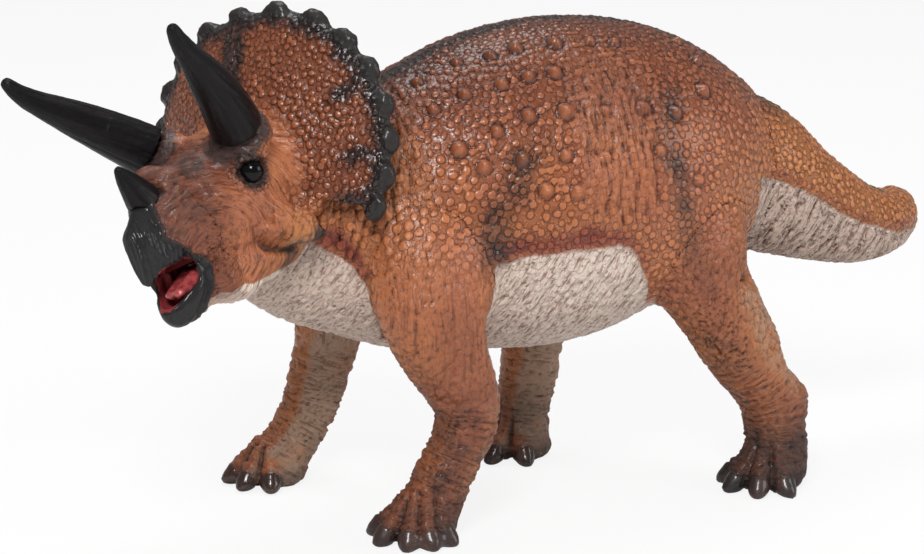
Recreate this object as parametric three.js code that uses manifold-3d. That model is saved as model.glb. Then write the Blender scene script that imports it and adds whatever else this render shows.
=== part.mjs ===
// A horned dinosaur play figure, moulded in soft plastic as separate pieces that plug together and are glued.
// Millimetres, +Z up. The animal looks along -X and its left side faces -Y. It stands on the plane z = 0.
import * as THREE from "three";
import { mergeVertices } from "three/addons/utils/BufferGeometryUtils.js";
import Module from "manifold-3d";

const wasm = await Module();
wasm.setup();

// Driving dimensions
const FIGURE_LENGTH = 192; // from the tip of the far horn to the bend of the tail
const CLEARANCE = 0.3; // glue gap between a piece and its seat
const LIMB_PEG = { width: 7, height: 5.5, length: 7, root: 5 };
const TAIL_PEG = { width: 9, height: 11, length: 8, root: 6 };
const HEAD_PEG = { width: 9, height: 9, length: 13, root: 5 };
const BEAK_PEG = { width: 3.6, height: 5, length: 4, root: 3 };
const JAW_PEG = { width: 4.4, height: 2.8, length: 4, root: 2 };
const HORN_PIN = { diameter: 4, length: 4.5, root: 4 };
const NOSE_PIN = { diameter: 2.6, length: 2.8, root: 2.5 };
const EYE_DIAMETER = 4.6;
const EYE_PIN = { diameter: 1.8, length: 2.2, root: 1.2 };

const FRILL = { thickness: 3.4, rootRadius: 6, rootBack: -3, centreHeight: 2.5 };
const RIM_KNOB = { count: 17, length: 4.8, width: 5.6, height: 4, sunk: 0.9 };
const BROW_BOSS = { width: 12.6, depth: 12, height: 7.5 };

// The way the head is turned on the neck, in degrees
const HEAD_TURN = { yaw: 32, pitch: -3.6, roll: -19.2 };

const SIDES = { torso: 28, tail: 18, leg: 14, head: 20, horn: 12 };

const COLOURS = {
  skin: { color: 0xa85a2c, roughness: 0.42, metalness: 0 },
  horn: { color: 0x231f22, roughness: 0.35, metalness: 0 },
  mouth: { color: 0xa8383a, roughness: 0.4, metalness: 0 },
  eye: { color: 0x050506, roughness: 0.08, metalness: 0 },
};

const vec = (x, y, z) => new THREE.Vector3(x, y, z);
const degrees = THREE.MathUtils.degToRad;

// The body is plotted in the numbers of a figure 192 mm long; unit turns a plotted number into millimetres.
const unit = FIGURE_LENGTH / 192;
const plot = (x, y, z) => vec(x, y, z).multiplyScalar(unit);

// An oval section of a horn or the tail, square to the line through the stations
const oval = (x, y, z, width, height) => ({ at: plot(x, y, z), width: width * unit, height: height * unit });

// An upright oval section of the body or the head, given by its highest and lowest point
const side = (x, top, bottom, width, egg = 0) =>
  ({ ...oval(x, 0, (top + bottom) / 2, width, top - bottom), egg });

const HEAD_SEAT = plot(-35.6, -3.5, 63.2);

// The plotted numbers start a little above the floor that the feet stand on.
const SOLE = -1.1 * unit;

// Geometry helpers

// A closed skin over a row of rings that all have the same number of points, with a fan over each end.
function skin(rings) {
  const sides = rings[0].length;
  const centreOf = (ring) => ring.reduce((sum, p) => sum.add(p), vec(0, 0, 0)).divideScalar(sides);
  const points = [...rings.flat(), centreOf(rings[0]), centreOf(rings.at(-1))];
  const startPole = rings.length * sides;
  const endPole = startPole + 1;
  const lastRing = startPole - sides;
  const faces = [];
  for (let j = 0; j < sides; j++) {
    const next = (j + 1) % sides;
    for (let i = 0; i < rings.length - 1; i++) {
      const here = i * sides;
      const there = here + sides;
      faces.push(here + j, here + next, there + j);
      faces.push(here + next, there + next, there + j);
    }
    faces.push(startPole, next, j);
    faces.push(endPole, lastRing + j, lastRing + next);
  }
  const geometry = new THREE.BufferGeometry().setFromPoints(points);
  geometry.setIndex(faces);
  return geometry;
}

// A body form: oval rings along a smooth line through the stations, square to that line or to a fixed axis.
// A station is { at, width, height, egg }; egg above 0 makes the underside the wider half.
// grow widens every ring, which is how a seat gets its clearance; domes round off the two ends.
function loft(stations, { sides, steps, up = vec(0, 0, 1), axis, grow = 0, domes = [0, 0] }) {
  const line = new THREE.CatmullRomCurve3(stations.map((s) => s.at), false, "centripetal");
  const sizes = new THREE.CatmullRomCurve3(
    stations.map((s) => vec(s.width, s.height, s.egg ?? 0)), false, "centripetal");
  const ringAt = (t, scale, push) => {
    const tangent = axis ? axis.clone() : line.getTangent(t);
    const centre = line.getPoint(t).addScaledVector(tangent, push);
    const size = sizes.getPoint(t);
    const across = tangent.clone().cross(up).normalize();
    const top = across.clone().cross(tangent);
    const halfWidth = (size.x / 2 + grow) * scale;
    const halfHeight = (size.y / 2 + grow) * scale;
    return Array.from({ length: sides }, (_, j) => {
      const a = (2 * Math.PI * j) / sides;
      const sideways = halfWidth * Math.sin(a) * (1 - size.z * Math.cos(a));
      return centre.clone().addScaledVector(across, sideways).addScaledVector(top, halfHeight * Math.cos(a));
    });
  };
  const domeRings = (t, length, sign) => [30, 62].map(degrees).map((angle) =>
    ringAt(t, Math.cos(angle), sign * (length * unit + grow) * Math.sin(angle)));
  const rings = Array.from({ length: steps + 1 }, (_, i) => ringAt(i / steps, 1, 0));
  if (domes[0]) rings.unshift(...domeRings(0, domes[0], -1).reverse());
  if (domes[1]) rings.push(...domeRings(1, domes[1], 1));
  return skin(rings);
}

const solid = (geometry) => {
  const bare = geometry.clone();
  bare.deleteAttribute("normal");
  bare.deleteAttribute("uv");
  const merged = mergeVertices(bare);
  return new wasm.Manifold(new wasm.Mesh({
    numProp: 3,
    vertProperties: merged.attributes.position.array,
    triVerts: new Uint32Array(merged.index.array),
  }));
};

const fuse = (...solids) => solids.reduce((all, next) => all.add(next));
const cut = (body, ...tools) => tools.reduce((left, tool) => left.subtract(tool), body);

function ellipsoid(at, size, { turn = [0, 0, 0], segments = [12, 6] } = {}) {
  const geometry = new THREE.SphereGeometry(0.5, ...segments);
  geometry.scale(...size);
  const angles = new THREE.Euler(...turn.map(degrees), "ZYX");
  geometry.applyMatrix4(new THREE.Matrix4().makeRotationFromEuler(angles));
  return solid(geometry.translate(at.x, at.y, at.z));
}

// Turns a geometry made along +Z so that it points along `into`, with its start at `at`.
function aim(geometry, at, into) {
  const turn = new THREE.Quaternion().setFromUnitVectors(vec(0, 0, 1), into.clone().normalize());
  return geometry.applyQuaternion(turn).translate(at.x, at.y, at.z);
}

// A square peg that reaches `length` past the seat at `at` and `root` back into its own piece.
// With a gap it is the socket for that peg.
function peg(at, into, { width, height, length, root }, gap = 0) {
  const geometry = new THREE.BoxGeometry(width + 2 * gap, height + 2 * gap, length + root + gap);
  return solid(aim(geometry.translate(0, 0, (length + gap - root) / 2), at, into));
}

function pin(at, into, { diameter, length, root }, gap = 0) {
  const radius = diameter / 2 + gap;
  const geometry = new THREE.CylinderGeometry(radius, radius, length + root + gap, SIDES.horn);
  return solid(aim(geometry.rotateX(Math.PI / 2).translate(0, 0, (length + gap - root) / 2), at, into));
}

// Everything on the far side of a plane through `at` whose normal is `facing`.
function beyond(at, facing) {
  const reach = 1.5 * FIGURE_LENGTH;
  const geometry = new THREE.BoxGeometry(reach, reach, reach).translate(0, 0, reach / 2);
  return solid(aim(geometry, at, facing));
}

// A mesh whose pose is its own; what is passed in is already in its parent's frame.
function mesh(name, body, finish) {
  const { vertProperties, triVerts, numProp } = body.getMesh();
  const geometry = new THREE.BufferGeometry();
  geometry.setAttribute("position", new THREE.BufferAttribute(new Float32Array(vertProperties), numProp));
  geometry.setIndex(new THREE.BufferAttribute(triVerts, 1));
  geometry.computeVertexNormals();
  const made = new THREE.Mesh(geometry, new THREE.MeshStandardMaterial(COLOURS[finish]));
  made.name = name;
  return made;
}

// Torso: the barrel of the body with the neck in front and the rump behind

const TORSO = [
  side(-38, 65, 42.4, 18.4),
  side(-31, 69.5, 37.2, 27),
  side(-20, 75, 33, 36, 0.05),
  side(-8, 80.8, 29, 45, 0.1),
  side(6, 86.6, 27.6, 51, 0.12),
  side(22, 89.1, 26.9, 55, 0.12),
  side(32, 88.8, 28.4, 54.4, 0.1),
  side(42, 87.1, 32.2, 51, 0.1),
  side(51, 84, 35.8, 45.5, 0.05),
  side(60, 78.8, 39.6, 35),
  side(66, 74, 42.2, 26),
];
const TORSO_RINGS = { sides: SIDES.torso, steps: 26, axis: vec(1, 0, 0), domes: [3, 3] };
const torsoForm = (grow = 0) => solid(loft(TORSO, { ...TORSO_RINGS, grow }));

// Tail: thick at the rump, drooping, and curled to the right at the tip

const TAIL = [
  oval(58, 0, 57.3, 24, 34),
  oval(66, 0, 55.6, 23.5, 31.4),
  oval(71.5, 0, 53, 22.6, 28.6),
  oval(78, 0, 49.4, 20.4, 24.4),
  oval(85, 0, 46.1, 17.6, 20.8),
  oval(92, 0.3, 43.2, 15, 17.4),
  oval(98.5, 1.6, 42, 12.8, 14.8),
  oval(104.4, 4.4, 41.9, 10.8, 12.6),
  oval(107.8, 8.2, 42.4, 9, 10.6),
  oval(108.8, 12.6, 43.4, 6.6, 7.6),
];
const TAIL_SEAT = plot(66, 0, 56.5);
const TAIL_FRONT = plot(58.5, 0, 55);
const BACKWARD = vec(1, 0, 0);
const FORWARD = vec(-1, 0, 0);

// Legs: each runs from inside the body down to the foot. width is across the body, height is fore and aft.
// toes lists the way each toe points, in degrees from straight ahead toward the right side.

const leg = (x, y, z, length, width) => oval(x, y, z, width, length);
const LEGS = {
  foreleg_left: {
    stations: [
      leg(-4, -13, 63, 17, 10), leg(-6.5, -17.5, 53, 24, 16), leg(-8.8, -21, 43, 22.5, 17),
      leg(-7.4, -22.4, 34, 17, 15), leg(-4.5, -22.8, 28.4, 14.2, 13.2), leg(-2.8, -22.8, 23.7, 12.8, 12.4),
      leg(-2.3, -22.8, 20.6, 12.2, 11.8), leg(-4.4, -22.6, 15.8, 11.2, 11.2), leg(-7, -22.4, 10.6, 11.2, 11.2),
      leg(-9.4, -22.2, 5.8, 11.2, 11.6), leg(-11.2, -22.2, 1.6, 11.6, 12.2),
    ],
    seat: plot(-8.5, -20, 42), foot: plot(-12.4, -22, 0), toes: [36, -10, -54, -88, -119],
  },
  foreleg_right: {
    stations: [
      leg(-5, 13, 63, 17, 10), leg(-6.5, 17, 53, 23, 16), leg(-8.2, 20, 43, 20.5, 16.4),
      leg(-10, 21.5, 34, 16, 14), leg(-11.6, 22, 24.6, 12.8, 12.2), leg(-13.6, 22, 17.6, 12.2, 11.8),
      leg(-15.7, 21.8, 11.8, 11.2, 11.2), leg(-18.8, 21.6, 7.2, 10.6, 11.2), leg(-22.2, 21.4, 2.4, 10.4, 12),
    ],
    seat: plot(-8, 19.4, 42), foot: plot(-24, 21, 0), toes: [56, 14, -28, -70],
  },
  hindleg_left: {
    stations: [
      leg(46, -8, 67, 18, 10), leg(45.5, -13.5, 58.5, 25, 16), leg(45.8, -17, 48.5, 24, 18),
      leg(47.8, -18.6, 41, 19.2, 16.8), leg(51.4, -19.6, 34.4, 16.8, 15.4), leg(54, -20.2, 29, 15.6, 14.4),
      leg(56.4, -20.4, 24.6, 13.8, 13.4), leg(59.6, -20.8, 20, 13, 12.8), leg(62.1, -21.2, 15.6, 12.6, 12.4),
      leg(63, -21.6, 10.6, 12.2, 12.2), leg(62.8, -22, 6, 12.6, 12.6), leg(62.2, -22.2, 1.6, 12.8, 13),
    ],
    seat: plot(47, -18.8, 44), foot: plot(60.6, -22, 0), toes: [42, -4, -50, -95],
  },
  hindleg_right: {
    stations: [
      leg(45.5, 8, 67, 18, 10), leg(44.5, 13.5, 58.5, 25, 16), leg(41.5, 16.6, 47.5, 24, 17.6),
      leg(36, 17.6, 36.6, 18.6, 15.6), leg(31.8, 17.6, 27, 13.6, 13), leg(30, 17.4, 19.4, 12, 12),
      leg(29.5, 17.2, 14, 11.8, 11.6), leg(27.9, 17, 9, 11.4, 11.6), leg(27.4, 16.8, 4.6, 11.6, 12),
      leg(27, 16.6, 1.6, 11.8, 12.4),
    ],
    seat: plot(40, 18.4, 43.5), foot: plot(26.2, 16.4, 0), toes: [58, 16, -28, -80],
  },
};
const FOOT = { width: 13.4, height: 7, heel: 0.8 };
const TOE = { length: 8.6, width: 5, height: 5.2, reach: 4.2, above: 3.2 };
const CLAW = { length: 4.8, width: 4.1, height: 3.8, reach: 7.1, above: 1.6 };
const TOE_DROOP = 22; // degrees

// A spread foot: a low pad, with toes fanned round its front edge and a claw at the end of each.
function foot({ foot: place, toes }) {
  const at = place.clone().setZ(SOLE);
  const { width, height, heel } = FOOT;
  const padCentre = at.clone().add(vec(heel, 0, height * 0.32));
  const pad = ellipsoid(padCentre, [width, width, height], { segments: [14, 8] });
  const parts = [pad];
  const knuckle = (bone, out, turn, segments) => {
    const centre = at.clone().addScaledVector(out, bone.reach).add(vec(0, 0, bone.above));
    return ellipsoid(centre, [bone.length, bone.width, bone.height], { turn, segments });
  };
  for (const way of toes) {
    const angle = degrees(way);
    const out = vec(-Math.cos(angle), Math.sin(angle), 0);
    const turn = [0, -TOE_DROOP, -way];
    parts.push(knuckle(TOE, out, turn, [8, 6]));
    parts.push(knuckle(CLAW, out, turn, [7, 5]));
  }
  return fuse(...parts);
}

function legBody({ stations, seat, ...footSizes }, hull) {
  const limb = loft(stations, { sides: SIDES.leg, steps: 14, up: FORWARD, domes: [2, 1.4] });
  const inward = vec(0, -Math.sign(seat.y), 0.35);
  const below = beyond(vec(0, 0, SOLE), vec(0, 0, -1));
  return fuse(cut(fuse(solid(limb), foot(footSizes)), hull, below), peg(seat, inward, LIMB_PEG));
}

const legSocket = ({ seat }) => peg(seat, vec(0, -Math.sign(seat.y), 0.35), LIMB_PEG, CLEARANCE);

// Head: built looking along -X about the joint with the neck, then turned as one group

const SKULL = [
  side(5, 10, -9, 19),
  side(-2, 12.2, -12, 22.5),
  side(-10, 12.6, -13.4, 23.6),
  side(-17, 10, -13, 20),
  side(-23, 7.2, -10.6, 15),
  side(-28, 5, -9.2, 11.2),
  side(-32, 2.8, -8.6, 8),
];
const MUZZLE = [
  side(-20, 8, -9, 15.6, 0.1),
  side(-25, 5.9, -8.4, 12.8, 0.15),
  side(-29, 4.2, -8.2, 10.4, 0.2),
  side(-32.8, 3.2, -8.9, 7.6, 0.2),
  side(-35.2, 1.2, -9.9, 4.8, 0.1),
];
const CHEEK = [
  side(4, -4, -14, 18),
  side(-6, -4, -16.6, 20.6),
  side(-14, -6, -17, 16.8),
  side(-20, -7.6, -16.4, 12.4),
];
// The jaw is a scoop: the lower part of this form, up to the plane of its rim, less the hollow of the mouth.
const JAW = [
  side(-18.6, -5, -16.4, 12.4),
  side(-23.4, -3, -17.2, 12),
  side(-27, -3.6, -18.1, 10.9),
  side(-29.6, -6, -18.3, 9),
  side(-31.4, -9.4, -18.1, 6.4),
  side(-32.3, -11.6, -17.4, 4),
];
const JAW_HOLLOW = [
  side(-18.6, -4, -11.6, 9.4),
  side(-23.4, -3, -13.4, 10.2),
  side(-27, -3.6, -15, 9.1),
  side(-29.6, -6, -15.5, 7.2),
  side(-31, -9, -15.6, 4.8),
];
const TONGUE = [
  side(-19.4, -7.4, -11.8, 6.6),
  side(-23.4, -8.6, -13, 7.4),
  side(-27, -10, -13.8, 6.8),
  side(-29.6, -11, -13.9, 5),
];
const BROW_HORN = [
  oval(-9.6, -8.6, 8.4, 10, 10.6),
  oval(-13.6, -11.3, 13, 9.4, 9.8),
  oval(-18.4, -14.1, 17.9, 8, 8.4),
  oval(-22.8, -16.2, 21.9, 6.6, 6.9),
  oval(-26.6, -17.9, 25.2, 4.9, 5),
  oval(-29.6, -19.1, 28, 3.8, 3.9),
  oval(-31.4, -20, 31, 2.5, 2.6),
];
const NOSE_HORN = [
  oval(-27.9, 0, 1.8, 7.4, 8.6),
  oval(-29.9, 0, 5.4, 5.8, 6.8),
  oval(-31.9, 0, 8.7, 3.8, 4.4),
  oval(-33.2, 0, 11, 1.9, 2.1),
];
const JUGAL_HORN = [
  oval(-9.6, -8.6, -5.8, 9, 8.6),
  oval(-6.8, -11.4, -8.4, 7.2, 6.8),
  oval(-4.6, -13.6, -10.6, 4.4, 4.2),
  oval(-3.6, -14.4, -11.5, 2.4, 2.4),
];
const EYE_AT = plot(-12.5, -10.8, 3.3);
const BEAK_PLANE = { at: plot(-24.2, 0, -1.8), facing: vec(-0.85, 0, -0.53) };
const JAW_PLANE = { at: plot(-20.6, 0, -12), facing: vec(-1, 0, 0) };
const JAW_RIM = { at: plot(-24, 0, -8.8), facing: vec(-0.53, 0, 0.85) };
const JAW_PEG_AT = plot(-20.6, 0, -14.3);
const PALATE = { at: plot(-27, 0, -8.8), size: plot(14, 8.2, 5).toArray() };
const HEAD_PEG_AT = plot(-6, 0, -1);

const mirrored = (stations) =>
  stations.map(({ at, ...rest }) => ({ at: vec(at.x, -at.y, at.z), ...rest }));

// The rim of the frill from the crown to its lower corner: angle in degrees, radius and backward lean
const FRILL_RIM = [
  { angle: 0, radius: 27, back: 11.3 },
  { angle: 36, radius: 27.9, back: 11.7 },
  { angle: 66, radius: 27.8, back: 10.5 },
  { angle: 94, radius: 26.8, back: 7.9 },
  { angle: 120, radius: 25.6, back: 3.6 },
];
const rimLine = new THREE.CatmullRomCurve3(
  FRILL_RIM.map(({ angle, radius, back }) => vec(angle, radius * unit, back * unit)), false, "centripetal");
const rimCorner = FRILL_RIM.at(-1).angle;

// A point of the frill's middle surface: a share of the way to a corner (-1 to 1) and of the radius
function frillPoint(turn, share, offset = 0) {
  const { x: angle, y: rimRadius, z: rimBack } = rimLine.getPoint(Math.abs(turn));
  const sweep = degrees(angle) * Math.sign(turn);
  const radius = FRILL.rootRadius + (rimRadius - FRILL.rootRadius) * share;
  return vec(
    FRILL.rootBack + (rimBack - FRILL.rootBack) * share + offset,
    -radius * Math.sin(sweep),
    FRILL.centreHeight + radius * Math.cos(sweep),
  );
}

function frill() {
  const shares = [0, 0.33, 0.66, 0.93];
  const sections = 26;
  const half = FRILL.thickness / 2;
  const rings = Array.from({ length: sections + 1 }, (_, i) => {
    const turn = 1 - (2 * i) / sections;
    const front = shares.map((share) => frillPoint(turn, share, -half));
    const back = shares.map((share) => frillPoint(turn, share, half)).reverse();
    return [...front, frillPoint(turn, 1), ...back];
  });
  const knobs = Array.from({ length: RIM_KNOB.count }, (_, i) => {
    const turn = 1 - (2 * i) / (RIM_KNOB.count - 1);
    const tilt = rimCorner * turn;
    const size = [RIM_KNOB.height, RIM_KNOB.width, RIM_KNOB.length];
    const share = 1 - RIM_KNOB.sunk / FRILL_RIM[0].radius;
    return ellipsoid(frillPoint(turn, share), size, { turn: [tilt, 0, 0], segments: [8, 5] });
  });
  return fuse(solid(skin(rings)), ...knobs);
}

const horn = (stations) =>
  solid(loft(stations, { sides: SIDES.horn, steps: 9, up: FORWARD, domes: [0, 0.9] }));

// The head's own forms run forward from the neck, so their rings face -X.
const headForm = (stations, grow = 0, steps = 12) =>
  solid(loft(stations, { sides: SIDES.head, steps, axis: FORWARD, grow, domes: [2, 1.4] }));

// Outward direction of a brow horn at its base, and the point where its pin starts.
const hornAxis = (flip) => vec(-5, -3.3 * flip, 5.6).normalize();
const hornSeat = (flip) => plot(-13.1, -10.9 * flip, 12.2);
const noseAxis = vec(-2, 0, 3.5).normalize();
const noseSeat = plot(-28.6, 0, 3.2);

// The raised brow that a horn grows from, square to the horn
function browBoss(flip, grow = 0) {
  const { width, depth, height } = BROW_BOSS;
  const geometry = new THREE.SphereGeometry(0.5, 16, 8).rotateX(Math.PI / 2);
  geometry.scale(width + 2 * grow, depth + 2 * grow, height + 2 * grow);
  return solid(aim(geometry, plot(-10.6, -9.2 * flip, 9.3), hornAxis(flip)));
}

function headPieces(neckInHead, neckPegInHead) {
  const flips = { left: 1, right: -1 };
  const ahead = ({ at, facing }, gap) =>
    beyond(at.clone().addScaledVector(facing.clone().normalize(), -gap), facing);
  const beakSide = (gap) => ahead(BEAK_PLANE, gap);
  const jawSide = (gap) => ahead(JAW_PLANE, gap);
  const backFromBeak = BEAK_PLANE.facing.clone().negate();
  const backFromJaw = JAW_PLANE.facing.clone().negate();

  const jawForm = cut(headForm(JAW), beyond(JAW_RIM.at, JAW_RIM.facing));
  const mouthFloor = headForm(TONGUE, CLEARANCE, 8);
  const tongueForm = headForm(TONGUE, 0, 8);
  const muzzleSeat = headForm(MUZZLE, CLEARANCE);
  const beakPeg = (gap) => peg(BEAK_PLANE.at, backFromBeak, BEAK_PEG, gap);
  const jawPeg = (gap) => peg(JAW_PEG_AT, backFromJaw, JAW_PEG, gap);
  const palate = ellipsoid(PALATE.at, PALATE.size);

  const pieces = {};
  pieces.upper_beak = fuse(
    cut(headForm(MUZZLE).intersect(beakSide(0)), palate),
    beakPeg(0));
  pieces.lower_jaw = fuse(
    cut(jawForm.intersect(jawSide(0)), mouthFloor, headForm(JAW_HOLLOW), muzzleSeat),
    jawPeg(0));
  pieces.tongue = cut(tongueForm.intersect(jawSide(0)), muzzleSeat, jawPeg(CLEARANCE));

  const seats = fuse(headForm(SKULL), browBoss(1), browBoss(-1));
  let head = fuse(seats, headForm(CHEEK), frill(),
    solid(loft(JUGAL_HORN, { sides: SIDES.horn, steps: 7, domes: [0, 1] })),
    solid(loft(mirrored(JUGAL_HORN), { sides: SIDES.horn, steps: 7, domes: [0, 1] })));
  head = cut(head, neckInHead, beakSide(CLEARANCE), jawSide(CLEARANCE),
    beakPeg(CLEARANCE), jawPeg(CLEARANCE));

  for (const [name, flip] of Object.entries(flips)) {
    const stations = flip > 0 ? BROW_HORN : mirrored(BROW_HORN);
    const inward = hornAxis(flip).negate();
    const eyeAt = vec(EYE_AT.x, EYE_AT.y * flip, EYE_AT.z);
    const eyeInward = vec(0, flip, 0);
    const eye = (gap) => fuse(
      ellipsoid(eyeAt, Array(3).fill(EYE_DIAMETER + 2 * gap)),
      pin(eyeAt.clone().addScaledVector(eyeInward, EYE_DIAMETER / 2), eyeInward, EYE_PIN, gap));
    const boss = browBoss(flip, CLEARANCE);
    const hornBody = cut(horn(stations), headForm(SKULL, CLEARANCE), boss, eye(CLEARANCE));
    pieces["brow_horn_" + name] = fuse(hornBody, pin(hornSeat(flip), inward, HORN_PIN));
    pieces["eye_" + name] = eye(0);
    head = cut(head, pin(hornSeat(flip), inward, HORN_PIN, CLEARANCE), eye(CLEARANCE),
      solid(loft(stations, { sides: SIDES.horn, steps: 9, up: FORWARD, grow: CLEARANCE, domes: [0, 1] }))
        .subtract(seats));
  }

  const noseHorn = cut(horn(NOSE_HORN), headForm(SKULL, CLEARANCE), headForm(MUZZLE, CLEARANCE));
  pieces.nose_horn = fuse(noseHorn, pin(noseSeat, noseAxis.clone().negate(), NOSE_PIN));
  const noseSocket = pin(noseSeat, noseAxis.clone().negate(), NOSE_PIN, CLEARANCE);
  pieces.upper_beak = cut(pieces.upper_beak, noseSocket);
  head = cut(head, noseSocket);

  pieces.head = fuse(head, neckPegInHead);
  return pieces;
}

// Assembly

const hull = torsoForm(CLEARANCE);
const headPose = new THREE.Matrix4().compose(
  HEAD_SEAT,
  new THREE.Quaternion().setFromEuler(
    new THREE.Euler(degrees(HEAD_TURN.roll), degrees(HEAD_TURN.pitch), degrees(HEAD_TURN.yaw), "ZYX")),
  vec(1, 1, 1),
);
const bodyInHead = headPose.clone().invert();
const neckInHead = solid(loft(TORSO, { ...TORSO_RINGS, grow: CLEARANCE }).applyMatrix4(bodyInHead));
const neckDirection = vec(1, 0.06, -0.32).transformDirection(bodyInHead);
const headPeg = (gap) => peg(HEAD_PEG_AT, neckDirection, HEAD_PEG, gap);
const headPegInBody = headPeg(CLEARANCE).transform(headPose.elements);

const tailForm = solid(loft(TAIL, { sides: SIDES.tail, steps: 20, domes: [2, 3] }));
const tailBody = fuse(cut(tailForm, hull, beyond(TAIL_FRONT, FORWARD)), peg(TAIL_SEAT, FORWARD, TAIL_PEG));

const figure = new THREE.Group();
const tailSocket = peg(TAIL_SEAT, FORWARD, TAIL_PEG, CLEARANCE);
const legSockets = Object.values(LEGS).map(legSocket);
figure.add(mesh("torso", cut(torsoForm(), tailSocket, headPegInBody, ...legSockets), "skin"));
figure.add(mesh("tail", tailBody, "skin"));
for (const [name, sizes] of Object.entries(LEGS)) figure.add(mesh(name, legBody(sizes, hull), "skin"));

const headGroup = new THREE.Group();
headGroup.applyMatrix4(headPose);
const FINISHES = { head: "skin", tongue: "mouth", eye_left: "eye", eye_right: "eye" };
for (const [name, body] of Object.entries(headPieces(neckInHead, headPeg(0)))) {
  headGroup.add(mesh(name, body, FINISHES[name] ?? "horn"));
}
figure.add(headGroup);

// The origin is under the middle of the whole figure, on the floor.
figure.updateMatrixWorld(true);
const extent = new THREE.Box3().setFromObject(figure, true);
const middle = extent.getCenter(vec(0, 0, 0));
figure.position.set(-middle.x, -middle.y, -extent.min.z);

export default figure;
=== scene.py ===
# A horned dinosaur play figure in painted soft plastic: scaly skin, black horns and an open red mouth.
import itertools
import math

import bmesh
import bpy
import numpy as np
from bpy.props import FloatProperty, FloatVectorProperty, PointerProperty
from mathutils import Euler, Matrix, Vector
from mathutils.bvhtree import BVHTree
from mathutils.kdtree import KDTree


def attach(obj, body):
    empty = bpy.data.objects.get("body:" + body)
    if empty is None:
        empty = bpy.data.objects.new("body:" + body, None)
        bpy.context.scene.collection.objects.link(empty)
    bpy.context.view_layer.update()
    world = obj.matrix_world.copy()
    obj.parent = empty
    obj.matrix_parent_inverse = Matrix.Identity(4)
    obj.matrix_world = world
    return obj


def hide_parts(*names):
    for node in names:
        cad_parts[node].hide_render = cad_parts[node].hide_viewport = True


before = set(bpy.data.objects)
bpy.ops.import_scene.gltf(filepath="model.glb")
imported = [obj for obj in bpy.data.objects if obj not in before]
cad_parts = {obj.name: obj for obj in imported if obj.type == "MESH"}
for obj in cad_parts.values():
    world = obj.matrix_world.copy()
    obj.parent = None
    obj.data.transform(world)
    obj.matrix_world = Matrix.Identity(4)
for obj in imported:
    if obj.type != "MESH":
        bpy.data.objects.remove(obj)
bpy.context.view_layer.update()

bl_info = {
    "name": "Horned dinosaur figure",
    "version": (1, 0, 0),
    "blender": (4, 5, 0),
    "location": "3D View > Sidebar > Dinosaur",
    "description": "Sculpts and paints a horned dinosaur play figure over its moulded pieces",
    "category": "Add Mesh",
}

# The plotted numbers are millimetres. ORIGIN is where the plot's zero lies in the frame, in millimetres.
ORIGIN = np.array([-16.18, 1.12, 1.1])
MM = 0.001
FLOOR = -ORIGIN[2]

# The head's seat on the neck and the way it is turned
HEAD_SEAT = np.array([-35.6, -3.5, 63.2])
HEAD_TURN = Euler((math.radians(-19.2), math.radians(-3.6), math.radians(32)), "XYZ")
HEAD_MATRIX = np.array(HEAD_TURN.to_matrix())

# How far the pieces are swollen to close their glue gaps before the skin is drawn over them
BODY_SWELL = 0.22
HEAD_SWELL = 0.17
# The grid of the horns and the tongue, and the size of an eye
FINE_GRID = 0.3
EYE_SIZE = 4.5

LEGS = ("foreleg_left", "foreleg_right", "hindleg_left", "hindleg_right")
BODY_NODES = ("torso", "tail", *LEGS)
HEAD_NODES = ("head", "upper_beak", "lower_jaw")

# The middle line of each leg from the shoulder or hip to the sole
LEG_LINES = {
    "foreleg_left": [(-6.5, -17.5, 53), (-8.8, -21, 43), (-7.4, -22.4, 34), (-2.8, -22.8, 23.7),
                     (-4.4, -22.6, 15.8), (-9.4, -22.2, 5.8), (-11.2, -22.2, 0)],
    "foreleg_right": [(-6.5, 17, 53), (-8.2, 20, 43), (-11.6, 22, 24.6), (-15.7, 21.8, 11.8),
                      (-22.8, 21.4, 0)],
    "hindleg_left": [(45.5, -13.5, 58.5), (47.8, -18.6, 41), (54, -20.2, 29), (61, -21, 17),
                     (63, -21.6, 10.6), (62, -22.2, 0)],
    "hindleg_right": [(44.5, 13.5, 58.5), (36, 17.6, 36.6), (30.4, 17.4, 22), (28, 17, 9), (27, 16.6, 0)],
}
# Foot centre, and the way each toe points in degrees from straight ahead toward the right side
FEET = {
    "foreleg_left": ((-12.4, -22), (36, -10, -54, -88, -119)),
    "foreleg_right": ((-24, 21), (56, 14, -28, -70)),
    "hindleg_left": ((60.6, -22), (42, -4, -50, -95)),
    "hindleg_right": ((26.2, 16.4), (58, 16, -28, -80)),
}

# Cone scales on the left side of the back, by rows from the spine down
CONE_SCALES = [
    (-5.3, -7.2, 80.2), (2.4, -7.7, 83.3), (8.3, -9.3, 84.4), (13.3, -9.5, 85.4), (20.9, -10.3, 86),
    (27.9, -10.7, 86), (32.9, -11, 85.4), (48.3, -6.8, 83.7),
    (1.1, -13.9, 78.6), (7.9, -14.9, 80.1), (13.2, -15.2, 81.2), (18.2, -15.7, 81.6), (50.2, -11.2, 80.6),
    (-4.9, -13.4, 76.1), (4.7, -19.8, 72.5), (11, -19.8, 74.8), (18.1, -20.8, 75.2), (25.8, -21.5, 75),
    (33.7, -21.4, 74.9), (40.4, -21.2, 73.3), (48.4, -17.2, 76.1),
    (-2.5, -19.2, 69.7), (1.3, -21.8, 66.6), (8.3, -23.1, 67.5), (16.4, -24.3, 67.9), (23.9, -25.3, 67.1),
    (35.6, -24.8, 67.1), (11.9, -25.5, 62), (17.8, -26.4, 61.3), (43.6, -24.8, 61),
]

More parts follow.
